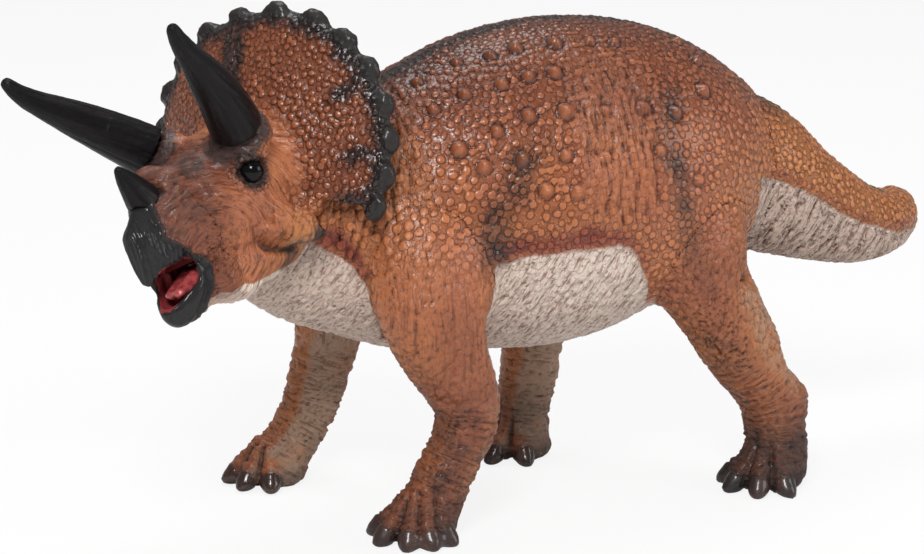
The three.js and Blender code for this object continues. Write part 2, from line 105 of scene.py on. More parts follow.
# Small swellings and hollows of the body: place, reach and height
BODY_TOUCHES = [
    ((55.2, -23.2, 41.2), 2.3, -1.5), ((62.0, -22, 29.5), 3.8, 0.9), ((65.0, -22.5, 22.6), 2.3, -0.7),
    ((68.0, -23, 16.8), 3.2, 1.1), ((54.2, -21.5, 16.5), 2.8, -1.0), ((-33, -11, 40.4), 3.6, -0.9),
]

# Pitted darker skin on the near legs: place and reach
PITTED = [((-6.4, -27.1, 20.1), 4.6), ((-10.6, -26.6, 11.5), 4.4), ((47.5, -24.9, 29.2), 5),
          ((51, -26.5, 26), 4.5), ((48.5, -23, 37), 4)]

# Painted borders on the body's side: the lower edge of the brown, as x and z along it
BELLY_LINE = [(-30, 30), (-1.5, 36), (-0.3, 42.2), (0.7, 46.3), (2.6, 49.7), (6.6, 50.6), (11.6, 50.4),
              (15.1, 50.6), (18.9, 51), (25.7, 51), (28.3, 49.8), (30, 48), (33.7, 42.9), (36, 37), (66, 37)]
THROAT_LINE = [(-45, 60), (-37, 58.5), (-34, 57), (-27.8, 53.6), (-24.4, 52), (-21.9, 49.4), (-20, 46.1),
               (-15.4, 36.3), (-12, 30), (0, 20)]
TAIL_LINE = [(56, 60), (63.7, 57.7), (69.4, 55.6), (73.5, 53.8), (78.6, 50.9), (84.7, 47.3), (90.7, 44.5),
             (96.7, 42.3), (101.2, 41.3), (107.5, 39.9), (112, 39.5)]
# Dark bands down the flank, as z and x along the middle of each
FRONT_BAND = [(46, 0.5), (52.9, 2), (56.9, 2.7), (59.9, 4.6), (64.2, 7.2), (69.1, 9.8), (73.4, 14),
              (78.6, 18)]
REAR_BAND = [(34.4, 46.6), (40.4, 44.4), (48.1, 42.2), (53.2, 41.3), (58.8, 39.2), (65.3, 38.2),
             (70.3, 38.1), (74.5, 39.9), (80, 41)]

rng = np.random.default_rng(11)


# Fields over points

def ramp(low, high, value):
    """0 at low and 1 at high, smooth between; the other way round where low is above high."""
    share = np.clip((value - low) / (high - low), 0.0, 1.0)
    return share * share * (3 - 2 * share)


def bump(distance, width):
    """1 in the middle, fading out over the width."""
    return np.exp(-(distance / width) ** 2)


def along(line, value):
    """The second number of a line of pairs where its first number is value."""
    pairs = np.array(line, float)
    return np.interp(value, pairs[:, 0], pairs[:, 1])


def rows(*columns):
    return np.stack(columns, axis=1)


def distance_to(points, spot, stretch=1):
    """How far each point is from a spot, with the axes stretched."""
    return np.linalg.norm((points - spot) * stretch, axis=1)


def lattice_noise(points, seed):
    """Smooth noise between -1 and 1 with about one bump per unit."""
    cell = np.floor(points).astype(np.int64)
    part = points - cell
    part = part * part * part * (part * (part * 6 - 15) + 10)
    total = np.zeros(len(points))
    for corner in range(8):
        step = np.array([corner & 1, corner >> 1 & 1, corner >> 2 & 1])
        at = cell + step
        mixed = at[:, 0] * 73856093 ^ at[:, 1] * 19349663 ^ at[:, 2] * 83492791 ^ seed * 2654435761
        mixed = (mixed ^ mixed >> 13) * 1274126177 & 0x7FFFFFFF
        mixed = (mixed ^ mixed >> 16) * 2246822519 & 0x7FFFFFFF
        value = (mixed & 0xFFFFF) / 0xFFFFF * 2 - 1
        weight = np.prod(np.where(step, part, 1 - part), axis=1)
        total += value * weight
    return total


def layered_noise(points, size, seed):
    """Smooth noise between -1 and 1, with a finer one of half the height over it."""
    coarse = lattice_noise(points / size, seed)
    fine = lattice_noise(points / size * 2 + 17.3, seed + 1)
    return (coarse + fine / 2) / 1.5


def creases(points, seed):
    """Thin winding valleys: 1 in the middle of a crease and 0 away from it."""
    return np.clip(1 - np.abs(layered_noise(points, 1.0, seed)) * 4, 0, 1)


def head_local(points):
    """Points of the plot in the head's own frame."""
    return (points - HEAD_SEAT) @ HEAD_MATRIX


def head_place(spot):
    """Where a spot of the head's own frame lies in the plot."""
    return HEAD_MATRIX @ spot + HEAD_SEAT


# Meshes as arrays

class Skin:
    """A dense closed mesh whose points are pushed about in plotted millimetres."""

    def __init__(self, mesh):
        self.mesh = mesh
        count = len(mesh.vertices)
        self.points = np.empty(count * 3, np.float32)
        mesh.vertices.foreach_get("co", self.points)
        self.points = self.points.reshape(-1, 3).astype(float)
        edges = np.empty(len(mesh.edges) * 2, np.int32)
        mesh.edges.foreach_get("vertices", edges)
        self.edges = edges.reshape(-1, 2)
        self.degree = np.bincount(self.edges.ravel(), minlength=count)

    def store(self):
        self.mesh.vertices.foreach_set("co", self.points.astype(np.float32).ravel())
        self.mesh.update()

    def normals(self):
        self.store()
        found = np.empty(len(self.points) * 3, np.float32)
        self.mesh.vertex_normals.foreach_get("vector", found)
        return found.reshape(-1, 3).astype(float)

    def mean(self, values):
        """Each point's mean of its neighbours' values."""
        a, b = self.edges.T
        count = len(self.points)
        columns = values.reshape(count, -1)
        summed = [np.bincount(a, column[b], count) + np.bincount(b, column[a], count) for column in columns.T]
        return (np.array(summed).T / self.degree[:, None]).reshape(values.shape)

    def relax(self, rounds, weight):
        """Evens the points out, by a weight between 0 and 1."""
        weight = np.broadcast_to(weight, len(self.points))[:, None] * 0.6
        for _ in range(rounds):
            self.points += (self.mean(self.points) - self.points) * weight

    def soften(self, values, rounds):
        for _ in range(rounds):
            values = values * 0.4 + self.mean(values) * 0.6
        return values

    def push(self, height):
        self.points += self.normals() * np.reshape(height, (-1, 1))

    def mark(self, **marks):
        """Stores a number at each point under each mark's name, for the paint."""
        for name, values in marks.items():
            attribute = self.mesh.attributes.new(name, "FLOAT", "POINT")
            attribute.data.foreach_set("value", np.asarray(values, np.float32))

    def mark_grain(self, places):
        """Stores where each point lies in the stretched space that its wrinkles are painted in."""
        attribute = self.mesh.attributes.new("grain", "FLOAT_VECTOR", "POINT")
        attribute.data.foreach_set("vector", np.asarray(places, np.float32).ravel())


def as_mesh(made, name):
    """The built shape as a mesh; the shape itself is freed."""
    mesh = bpy.data.meshes.new(name)
    made.to_mesh(mesh)
    made.free()
    return mesh


def put(name, data):
    """A new object in the scene."""
    made = bpy.data.objects.new(name, data)
    bpy.context.scene.collection.objects.link(made)
    return made


def node_copy(node, swell=0.0):
    """A merged copy of a moulded piece, in plotted millimetres, swollen a little so that glue gaps close."""
    made = bmesh.new()
    made.from_mesh(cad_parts[node].data)
    bmesh.ops.scale(made, vec=(1 / MM, 1 / MM, 1 / MM), verts=made.verts)
    bmesh.ops.translate(made, vec=Vector(-ORIGIN), verts=made.verts)
    bmesh.ops.remove_doubles(made, verts=made.verts, dist=0.002)
    if swell:
        made.normal_update()
        for vertex in made.verts:
            vertex.co += vertex.normal * swell
    return made


def joined(parts):
    whole = bmesh.new()
    for part in parts:
        mesh = as_mesh(part, "part")
        whole.from_mesh(mesh)
        bpy.data.meshes.remove(mesh)
    return whole


def ellipsoid(at, size, turn=Matrix.Identity(3), segments=24):
    made = bmesh.new()
    bmesh.ops.create_uvsphere(made, u_segments=segments, v_segments=segments // 2, radius=0.5)
    place = Matrix.Translation(Vector(at)) @ turn.to_4x4() @ Matrix.Diagonal((*size, 1))
    bmesh.ops.transform(made, matrix=place, verts=made.verts)
    return made


def remeshed(parts, voxel):
    """One even skin of small squares over all the parts."""
    rough = put("rough", as_mesh(joined(parts), "rough"))
    modifier = rough.modifiers.new("remesh", "REMESH")
    modifier.mode = "VOXEL"
    modifier.voxel_size = voxel
    graph = bpy.context.evaluated_depsgraph_get()
    even = bpy.data.meshes.new_from_object(rough.evaluated_get(graph))
    bpy.data.objects.remove(rough)
    shell = bmesh.new()
    shell.from_mesh(even)
    keep_largest(shell)
    shell.to_mesh(even)
    shell.free()
    return even


def keep_largest(made):
    """Drops the inner bubbles and crumbs that a remesh leaves."""
    left = set(made.verts)
    found = []
    while left:
        island = [left.pop()]
        for known in island:
            fresh = {vertex for edge in known.link_edges for vertex in edge.verts} & left
            left -= fresh
            island.extend(fresh)
        found.append(island)
    for island in sorted(found, key=len, reverse=True)[1:]:
        bmesh.ops.delete(made, geom=island, context="VERTS")


def nearest_node(points, nodes):
    """The index of the moulded piece that each point lies nearest to."""
    gaps = []
    for node in nodes:
        made = node_copy(node)
        tree = BVHTree.FromBMesh(made)
        corners = np.array([vertex.co for vertex in made.verts])
        made.free()
        low, high = corners.min(0) - 2.5, corners.max(0) + 2.5
        near = np.all((points > low) & (points < high), axis=1)
        gap = np.full(len(points), 1e3)
        gap[near] = [tree.find_nearest(Vector(point))[3] for point in points[near]]
        gaps.append(gap)
    return np.argmin(np.array(gaps), axis=0)


def spaced_seeds(skin, spacing):
    """Points of the skin that stay at least their own spacing apart."""
    cell = spacing.max()
    taken = {}
    chosen = []
    for index in rng.permutation(len(skin.points)):
        point = skin.points[index]
        key = tuple((point // cell).astype(int))
        gap = spacing[index]
        around = itertools.product(*(range(part - 1, part + 2) for part in key))
        others = (other for spot in around for other in taken.get(spot, ()))
        if any(np.dot(point - other, point - other) < gap * gap for other in others):
            continue
        taken.setdefault(key, []).append(point)
        chosen.append(index)
    return np.array(chosen)


def scale_pattern(skin, spacing):
    """Round scales: how far each point is from the middle of its scale, in radii, and the scale's lot."""
    chosen = spaced_seeds(skin, spacing)
    tree = KDTree(len(chosen))
    for number, index in enumerate(chosen):
        tree.insert(skin.points[index], number)
    tree.balance()
    wobble = rows(*(layered_noise(skin.points, 1.3, seed) for seed in (3, 4, 5))) * 0.25
    found = [tree.find(point) for point in skin.points + wobble]
    distance = np.array([hit[2] for hit in found])
    lot = rng.random(len(chosen))[np.array([hit[1] for hit in found])]
    return np.minimum(distance / (spacing * (0.44 + 0.15 * lot)), 1.8), lot


def dome(share):
    """The height of a round scale at a share of its radius."""
    return np.sqrt(np.clip(1 - share ** 2, 0, 1))


def line_distance(points, line):
    """How far along a line each point is, and the way from the line out to it."""
    corners = np.array(line, float)
    spans = np.diff(corners, axis=0)
    lengths = np.linalg.norm(spans, axis=1)
    steps = spans / lengths[:, None]
    starts = np.concatenate([[0], np.cumsum(lengths)])[:-1]
    best = np.full(len(points), 1e9)
    distance = np.zeros(len(points))
    away = np.zeros((len(points), 3))
    for start, corner, length, step in zip(starts, corners, lengths, steps):
        held = np.clip((points - corner) @ step, 0, length)
        offset = points - corner - held[:, None] * step
        off = np.linalg.norm(offset, axis=1)
        closer = off < best
        distance[closer] = (start + held)[closer]
        away[closer] = offset[closer]
        best[closer] = off[closer]
    return distance, away


# Shader graph

class Wire:
    """A number coming out of a node, so that masks can be written as sums."""

    def __init__(self, graph, socket):
        self.graph = graph
        self.socket = socket

    def math(self, operation, *values):
        return self.graph.node("ShaderNodeMath", {"operation": operation}, *values)

    def __add__(self, other):
        return self.math("ADD", self, other)

    def __sub__(self, other):
        return self.math("SUBTRACT", self, other)

    def __rsub__(self, other):
        return self.math("SUBTRACT", other, self)

    def __mul__(self, other):
        return self.math("MULTIPLY", self, other)

    def __pow__(self, other):
        return self.math("POWER", self, other)

    __radd__ = __add__
    __rmul__ = __mul__

    def clear(self):
        """Held between 0 and 1."""
        return self.graph.node("ShaderNodeClamp", {}, self)

    def step(self, low, high):
        """0 below low and 1 above high, smooth between; the other way round where low is above high."""
        settings = {"interpolation_type": "SMOOTHSTEP"}
        return self.graph.node("ShaderNodeMapRange", settings, self, low, high, 0.0, 1.0)


class Graph:
    """The nodes of one material."""

    def __init__(self, name):
        self.material = bpy.data.materials.new(name)
        self.material.use_nodes = True
        self.tree = self.material.node_tree
        self.shader = self.tree.nodes["Principled BSDF"]

    def node(self, kind, settings, *values, out=0, **named):
        made = self.tree.nodes.new(kind)
        for key, value in settings.items():
            setattr(made, key, value)
        for key, value in (*enumerate(values), *named.items()):
            self.feed(made.inputs[key.replace("_", " ") if isinstance(key, str) else key], value)
        return Wire(self, made.outputs[out])

    def feed(self, socket, value):
        if isinstance(value, Wire):
            self.tree.links.new(value.socket, socket)
        elif value is not None:
            socket.default_value = value

    def set(self, **named):
        for key, value in named.items():
            self.feed(self.shader.inputs[key.replace("_", " ")], value)

    def place(self):
        """Where a point is, in millimetres."""
        spot = self.node("ShaderNodeTexCoord", {}, out="Object")
        return self.node("ShaderNodeVectorMath", {"operation": "SCALE"}, spot, Scale=1 / MM)

    def marked(self, name, out="Fac"):
        return self.node("ShaderNodeAttribute", {"attribute_name": name}, out=out)

    def marks(self, names):
        return [self.marked(name) for name in names.split()]

    def noise(self, vector, scale, detail, rough=0.5):
        return self.node("ShaderNodeTexNoise", {}, Vector=vector, Scale=scale, Detail=detail, Roughness=rough)

    def warped(self, vector, scale, amount):
        shift = self.node("ShaderNodeTexNoise", {}, Vector=vector, Scale=scale, Detail=1.0, out="Color")
        centred = self.node("ShaderNodeVectorMath", {"operation": "SUBTRACT"}, shift, (0.5, 0.5, 0.5))
        scaled = self.node("ShaderNodeVectorMath", {"operation": "SCALE"}, centred, Scale=amount)
        return self.node("ShaderNodeVectorMath", {"operation": "ADD"}, vector, scaled)

    def dots(self, vector, scale):
        """How far a point is from the nearest of many scattered dots, in parts of their spacing."""
        return self.node("ShaderNodeTexVoronoi", {"feature": "F1"}, Vector=vector, Scale=scale)

    def blend(self, share, first, second, way="MIX"):
        """Two colours mixed. The five sockets between the share and the colours are for other kinds."""
        settings = {"data_type": "RGBA", "blend_type": way}
        return self.node("ShaderNodeMix", settings, share, *[None] * 5, first, second, out=2)

    def relief(self, height, distance):
        """Bumps of the given height, in millimetres."""
        self.set(Normal=self.node("ShaderNodeBump", {}, Strength=1.0, Distance=distance * MM, Height=height))


def paint(colour):
    """A painted colour, given as it looks on a screen, as light."""
    light = [part / 12.92 if part <= 0.04045 else ((part + 0.055) / 1.055) ** 2.4 for part in colour]
    return (*light, 1)


def skin_material(colours):
    graph = Graph("painted_skin")
    place = graph.place()
    cream, dark, red, tan, ochre = graph.marks("cream dark red tan ochre")
    relief, wrinkle, pebble, nail, deep = graph.marks("relief wrinkle pebble nail deep")
    mouth, black, share, lot = graph.marks("mouth black share lot")
    grain = graph.marked("grain", "Vector")

    patch = graph.noise(place, 0.09, 3.0)
    fleck = graph.noise(place, 0.9, 3.0, 0.6)
    ragged = fleck - 0.5
    round_top = (1 - share * share).clear() ** 0.5
    disc = share.step(1.06, 0.74)
    groove = share.step(0.78, 0.98) * share.step(1.32, 1.02) * pebble
    between = share.step(0.96, 1.12) * pebble
    small = graph.dots(graph.warped(place, 0.7, 0.9), 1.15).step(0.5, 0.3)
    pits = graph.dots(place, 0.62).step(0.17, 0.08) * (cream * 0.7 + (1 - pebble) * 0.5).clear()
    hairs = graph.noise(grain, 1.0, 3.0, 0.6)

    brown = graph.blend(patch.step(0.36, 0.64), paint(colours.skin), paint(colours.skin_warm))
    brown = graph.blend(ochre, brown, paint(colours.ochre))
    brown = graph.blend((fleck.step(0.5, 0.75) * 0.5 + deep * 0.9).clear(), brown, paint(colours.skin_deep))
    brown = graph.blend(lot * pebble * 0.25, brown, paint(colours.skin_warm))
    # Greyer cream in the wrinkle valleys and where the deep mark is set, such as the tail's underside and the
    # throat: painted shade.
    unshaded_share = hairs.step(0.36, 0.52) * (1 - deep * 0.7).clear()
    pale = graph.blend(unshaded_share, paint(colours.cream_shade), paint(colours.cream))
    colour = graph.blend((tan + ragged * tan).step(0.15, 0.85), brown, paint(colours.tan))
    colour = graph.blend((cream + ragged * 0.5).step(0.3, 0.7), colour, pale)
    colour = graph.blend((red + ragged * red * 1.4).step(0.1, 1.0) * 0.9, colour, paint(colours.red))
    # The dark paint, a little darker still in the scale grooves as painted shade.
    dark_paint_and_shade = (dark * (0.92 + groove * 0.16) + ragged * dark * 0.7).step(0.0, 0.98)
    colour = graph.blend(dark_paint_and_shade, colour, paint(colours.dark))
    colour = graph.blend(black, colour, paint(colours.horn))
    colour = graph.blend((mouth + ragged * 0.3).step(0.35, 0.65), colour, paint(colours.mouth))
    # Darkens the scale grooves, the gaps between scales, the wrinkle valleys, the pits and the low points of
    # the relief: the figure's own dark wash, together with painted shade in these recesses.
    strokes = hairs.step(0.46, 0.34) * wrinkle * 0.5
    lines = groove * (0.4 - cream * 0.18) + between * (1 - small) * (0.3 - cream * 0.2)
    wash_and_shade = (relief.step(0.5, 0.1) * 0.5 + lines + strokes + pits * 0.45).clear() * (1 - mouth)
    colour = graph.blend(wash_and_shade, colour, paint(colours.groove), "MULTIPLY")

    height = (disc * 0.7 + round_top * 0.25) * pebble + small * between * 0.5
    height = height + hairs * 1.9 * wrinkle + fleck * 0.15 - pits * 0.4
    flat = deep * dark * (1 - pebble) * 0.5
    rough = 0.23 + fleck * 0.12 + cream * 0.1 + wrinkle * 0.1 + flat - nail * 0.12
    coat = (0.1 - cream * 0.1 + nail * 0.36).clear()
    graph.set(Base_Color=colour, Roughness=rough, Coat_Weight=coat, Coat_Roughness=0.1,
              Specular_IOR_Level=0.42)
    graph.relief(height, 0.36)
    return graph.material


def horn_material(colours):
    graph = Graph("painted_horn")
    hairs = graph.noise(graph.marked("grain", "Vector"), 1.0, 3.0, 0.6)
    fleck = graph.noise(graph.place(), 0.8, 3.0, 0.6)
    # Greyer streaks on the raised grain of the horn are a painted highlight; the greyer flecks are scuffs of
    # wear.
    colour = graph.blend(hairs.step(0.42, 0.75), paint(colours.horn), paint(colours.horn_sheen_and_wear))
    colour = graph.blend(fleck.step(0.6, 0.85) * 0.5, colour, paint(colours.horn_sheen_and_wear))
    graph.set(Base_Color=colour, Roughness=0.34 + fleck * 0.14, Coat_Weight=0.05, Coat_Roughness=0.2,
              Specular_IOR_Level=0.15)
    graph.relief(hairs * 0.9 + fleck * 0.2, 0.34)
    return graph.material


def mouth_material(colours):
    graph = Graph("mouth_paint")
    fleck = graph.noise(graph.place(), 0.7, 3.0, 0.55)
    colour = graph.blend(fleck.step(0.35, 0.65), paint(colours.mouth), paint(colours.tongue))
    graph.set(Base_Color=colour, Roughness=0.25 + fleck * 0.12, Coat_Weight=0.5, Coat_Roughness=0.1)
    graph.relief(fleck, 0.3)
    return graph.material


def eye_material(colours):
    graph = Graph("eye_gloss")
    fleck = graph.noise(graph.place(), 1.5, 2.0)
    colour = graph.blend(fleck.step(0.4, 0.7), paint(colours.eye), paint(colours.horn))
    graph.set(Base_Color=colour, Roughness=0.05 + fleck * 0.04, Coat_Weight=0.0, Specular_IOR_Level=0.2)
    return graph.material


# Finished pieces

def publish(made, node, material, name):
    """Closes a piece, puts it in the frame and lets it stand for its moulded node."""
    rims = [edge for edge in made.edges if edge.is_boundary]
    if rims:
        bmesh.ops.holes_fill(made, edges=rims, sides=0)
    bmesh.ops.triangulate(made, faces=[face for face in made.faces if len(face.verts) > 4])
    bmesh.ops.translate(made, vec=Vector(ORIGIN), verts=made.verts)
    bmesh.ops.scale(made, vec=(MM, MM, MM), verts=made.verts)
    for face in made.faces:
        face.smooth = True
    mesh = as_mesh(made, name)
    mesh.materials.append(material)
    piece = put(name, mesh)
    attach(piece, "root")
    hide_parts(node)


def split_by_owner(skin, nodes, material):
    """Cuts the skin along the borders between its moulded pieces, so that each has its own closed piece."""
    owner = nearest_node(skin.points, nodes)
    shares = np.eye(len(nodes))[owner]
    owner = np.argmax(skin.soften(shares, 12), axis=1)
    skin.store()
    for number, node in enumerate(nodes):
        made = bmesh.new()
        made.from_mesh(skin.mesh)
        others = []
        for face in made.faces:
            owners = [int(owner[vertex.index]) for vertex in face.verts]
            if max(set(owners), key=lambda one: (owners.count(one), -one)) != number:
                others.append(face)
        bmesh.ops.delete(made, geom=others, context="FACES")
        publish(made, node, material, node + "_skin")


def nail_wedge(at, wide, turn):
    """A blunt nail with flat sides that points forward and down."""
    made = bmesh.new()
    bmesh.ops.create_cone(made, cap_ends=True, segments=7, radius1=0.5, radius2=0.26, depth=1.0)
    lie = turn @ Matrix.Rotation(math.radians(-90), 3, "Y") @ Matrix.Diagonal((wide * 0.8, wide, 5.4))
    place = Matrix.Translation(Vector(at)) @ lie.to_4x4()
    bmesh.ops.transform(made, matrix=place, verts=made.verts)
    return made


def foot_parts():
    """Toes and nails, fanned round each foot."""
    parts = []
    nails = []
    for name, ((x, y), toes) in FEET.items():
        for way in toes:
            angle = math.radians(way)
            out = np.array([-math.cos(angle), math.sin(angle), 0.0])
            turn = Matrix.Rotation(-angle, 3, "Z") @ Matrix.Rotation(math.radians(-24), 3, "Y")
            centre = np.array([x, y, FLOOR])
            parts.append(ellipsoid(centre + out * 4.2 + (0, 0, 3.5), (9.2, 5.0, 5.8), turn))
            parts.append(ellipsoid(centre + out * 1.8 + (0, 0, 6.0), (6.4, 4.4, 7.0), turn))
            nail = centre + out * 7.0 + (0, 0, 1.55)
            wide = 4.9 if name.startswith("hind") else 4.2
            parts.append(nail_wedge(nail, wide, turn))
            nails.append((*(nail + out * 1.0), x, y, angle))
    return parts, np.array(nails)


def toe_gaps(points, nails):
    """1 along the furrows that run up the foot between neighbouring toes."""
    gaps = np.zeros(len(points))
    for first, second in zip(nails, nails[1:]):
        if np.any(first[3:5] != second[3:5]):
            continue
        angle = (first[5] + second[5]) / 2
        out = points[:, :2] - first[3:5]
        ahead = out @ (-math.cos(angle), math.sin(angle))
        across = out @ (math.sin(angle), math.cos(angle))
        gaps = np.maximum(gaps, bump(across, 0.55) * ramp(1.5, 3.5, ahead) * (ahead < 14))
    return gaps


def sculpt_body(sizes):
    toes, nails = foot_parts()
    skin = Skin(remeshed([node_copy(node, BODY_SWELL) for node in BODY_NODES] + toes, sizes.voxel))
    points = skin.points
    leg = nearest_node(points, BODY_NODES) >= 2
    weight = np.where(leg, 0.22 + 0.78 * ramp(3, 11, points[:, 2]), 1.0)
    weight = weight * (1 - 0.75 * bump(points[:, 0] - 66.5, 2.5))
    skin.relax(45, weight)
    skin.push(np.where(leg, -0.05, -BODY_SWELL))
    x, y, z = points.T
    facing = skin.normals()
    one_hot = skin.soften(np.eye(len(BODY_NODES))[nearest_node(points, BODY_NODES)], 25)
    torso, tail = one_hot[:, 0], one_hot[:, 1]
    legs = one_hot[:, 2:].sum(1)
    hind = one_hot[:, 4:].sum(1)
    # The far side, where the feet, shanks, elbow and lower legs get less dark and deep paint: painted light
    # that makes up for the shade the far legs stand in.
    far_side_fill = ramp(0, 8, y)
    drift = layered_noise(points, 5, 50)

    # Painted areas
    above_belly = z - along(BELLY_LINE, x)
    above_throat = z - along(THROAT_LINE, x)
    above_tail = z - along(TAIL_LINE, x)
    belly = ramp(1.6, -1.6, above_belly + drift) * torso * (x > -25)
    throat = ramp(1.8, -1.8, above_throat + drift) * torso * (x < -8)
    under = ramp(1.4, -1.4, above_tail + 0.6 * drift) * (x > 62) * (1 - legs)
    cream = np.maximum.reduce([belly, throat, under])
    inner = ramp(0.35, 0.95, -np.sign(y) * facing[:, 1]) * ramp(50, 40, z)
    calf = ramp(12, 24, z) * ramp(44, 37, z) * hind + 0.6 * (1 - hind) * ramp(3, 9, z) * ramp(30, 22, z)
    rear = ramp(-0.25, 0.4, facing[:, 0]) * calf
    tan = np.maximum(inner, 0.6 * rear) * legs * np.clip(0.85 + 0.4 * drift, 0, 1)
    red = np.maximum.reduce([
        bump(above_belly - 1.8 - drift, 2.4) * torso * ramp(-3, 3, x) * ramp(36, 30, x),
        bump(above_throat - 2.0 - drift, 2.8) * torso * ramp(-14, -22, x),
        0.75 * bump(above_tail - 1.3, 1.1) * (x > 66) * (1 - legs),
    ]) * (0.8 + 0.5 * drift)
    spread = np.abs(y)
    spine = 0.62 * ramp(2.6, 0.4, spread) + 0.3 * ramp(9, 2, spread)
    spine = (spine + 0.4 * ramp(19, 8, spread)) * ramp(56, 74, z) * (0.85 + 0.4 * drift)
    spine = spine + 0.8 * ramp(1.8, 0.6, spread) * ramp(62, 68, x) * ramp(103, 96, x) * (facing[:, 2] > 0.3)
    front_band = 0.92 * bump(x - along(FRONT_BAND, z), 4.2) * ramp(44, 52, z) * ramp(77, 66, z)
    rear_band = 0.62 * bump(x - along(REAR_BAND, z), 3.6) * ramp(34, 50, z) * ramp(84, 74, z)
    bands = np.maximum(front_band, rear_band) * (0.8 + 0.5 * drift)
    feet = (0.62 + 0.26 * hind) * ramp(15 + 5 * hind, 4 + 3 * hind, z) * (0.9 + 0.35 * drift)
    # Less dark paint on the far feet: painted light.
    feet = feet * (1 - 0.4 * far_side_fill) + 0.25 * ramp(4.5, 1.0, z)
    pitted = sum(bump(distance_to(points, place), reach) for place, reach in PITTED) * legs
    # Less dark paint on the far shanks: painted light.
    shank = 0.4 * ramp(36, 14, z) * legs * ramp(-0.2, 0.8, drift + 0.5) * (1 - 0.8 * far_side_fill) * (1 - tan)
    shank = shank + 0.26 * pitted * (0.8 + drift)
    to_nail = np.linalg.norm(points[:, None] - nails[None, :, :3], axis=2).min(axis=1)
    nail = ramp(2.9, 2.5, to_nail)
    dark = np.maximum.reduce([spine, bands, feet, shank, nail * 0.9])
    # The far legs get less deep paint at the elbow and the lower legs: painted light.
    deep = (0.8 * ramp(64, 80, z) + 0.25 * bump(x + 2, 14) * torso
            + 0.5 * bump(z - 29, 8) * legs * (1 - hind) * (1 - far_side_fill)
            + 0.5 * bump(distance_to(points, (-7, -29, 38)) + drift, 6)
            + 0.5 * ramp(54, 44, z) * ramp(26, 32, z) * hind * (1 - rear)
            + 0.65 * ramp(32, 18, z) * legs * (1 - 0.6 * far_side_fill) * (1 - tan)
            + under * 0.8 + throat * 0.5)
    neck = ramp(-6, -11, x) * ramp(-32, -24, x) * (1 - cream) * (1 - 0.6 * legs)
    edges = ramp(0.35, 0.8, -facing[:, 0]) * legs * ramp(40, 32, z) * ramp(6, 14, z)
    ochre = np.maximum.reduce([0.9 * tail, 0.6 * neck, 0.6 * bump(x - 60, 9) * ramp(72, 60, z), 0.7 * edges,
                               0.8 * rear, 0.4 * bump(above_belly - 5, 4) * torso])

    # Scales and cones
    lower = ramp(30, 20, z) * legs
    upper = legs * ramp(58, 44, z) * (1 - lower)
    flank = ramp(17, 22, x) * ramp(38, 33, x) * ramp(52, 58, z) * ramp(86, 76, z)
    plain = np.clip(1 - cream * 0.75 - lower * 0.75 - 0.4 * flank - 0.35 * neck - 0.6 * upper, 0.1, 1)
    spacing = 1.52 - 0.2 * ramp(70, 84, z) + 0.2 * ramp(10, -4, x) * ramp(70, 60, z)
    spacing = spacing - 0.2 * lower - 0.15 * tail
    share, lot = scale_pattern(skin, np.clip(spacing, 1.15, 1.75))
    cones = np.array(CONE_SCALES)
    away = cones[np.abs(cones[:, 1]) > 12]
    cones = np.concatenate([cones, away * (1, -1, 1) + (1.3, 0, 0.2)])
    size = rng.uniform(0.74, 1.05, len(cones))
    gaps = np.linalg.norm(points[:, None] - cones[None], axis=2) / size
    nearest = gaps.min(axis=1)
    crowd = ramp(2.2, 1.6, nearest)
    scales = (dome(share) - 0.45) * (0.13 + 0.24 * lot ** 2) * skin.soften(plain, 16)
    height = scales * (1 - crowd) * sizes.scale_height
    cone = np.clip(1 - nearest / 1.6, 0, 1) ** 1.2 * 1.45 - 0.24 * bump(nearest - 1.8, 0.32)
    height += cone * size[gaps.argmin(axis=1)] * sizes.cone_height
    share = np.where(nearest < 1.9, 0.6 + 0.4 * nearest / 1.7, share)

    # Folds and wrinkles
    folds = layered_noise(rows(x / 1.1, y / 7, z / 11), 1.0, 21)
    height += 0.7 * folds * flank - 0.75 * creases(rows(x / 1.3, y / 7, z / 9), 22) * flank
    bend = x + 0.012 * (z - 66) ** 2 * (z < 66)
    height -= 0.75 * creases(rows(bend / 1.2, y / 7, z / 12), 23) * neck
    distance = np.zeros(len(points))
    for number, name in enumerate(LEGS, 2):
        mine = one_hot[:, number] > 0.3
        distance[mine] = line_distance(points[mine], LEG_LINES[name])[0]
    distance = skin.soften(distance, 24)
    height -= 0.45 * creases(rows(distance, x / 6, y / 6), 27) * lower * ramp(5, 9, z)
    height -= 0.5 * creases(points / (1.3, 1.3, 0.95), 41) * (upper * (0.6 + 0.4 * hind) + 0.3 * lower)
    for place, reach, amount in BODY_TOUCHES:
        height += amount * bump(distance_to(points, place), reach)
    round_nail = creases(rows(to_nail / 0.85, x / 5, y / 5), 33)
    height -= 0.45 * round_nail * ramp(12, 8, z) * ramp(3.2, 3.9, to_nail) * legs
    height -= 0.5 * ramp(0.3, 0.9, creases(points, 36)) * pitted
    elbow = bump(distance_to(points, (-2.4, -23, 21), (1, 0.4, 1)), 6) * (y < 0) * legs
    height -= 0.3 * creases(rows((z + 0.45 * x) / 0.9, x / 7, y / 7), 28) * elbow
    slack = creases(rows((x - 0.5 * z) / 1.1, y / 5, (z + 0.4 * x) / 7), 29)
    height -= 0.4 * slack * cream
    height += 0.12 * layered_noise(points, 1.0, 31)
    height -= 0.8 * bump(x - 67.3, 0.7) * ramp(76, 71, z) * torso
    thigh_fold = bump(distance_to(points, (54.5, -24, 41.4), (0.4, 0.4, 1)), 0.9)
    height -= 1.6 * thigh_fold + 0.45 * slack * under
    between = toe_gaps(points, nails)
    height = height * (1 - 0.4 * ramp(5, 2, z)) * (1 - nail)
    height -= 0.9 * between * ramp(13, 6, z) * (1 - nail)
    height -= 0.4 * bump(to_nail - 3.1, 0.35) * ramp(6, 4, z)
    skin.push(height)
    points[:, 2] = np.maximum(points[:, 2], FLOOR)
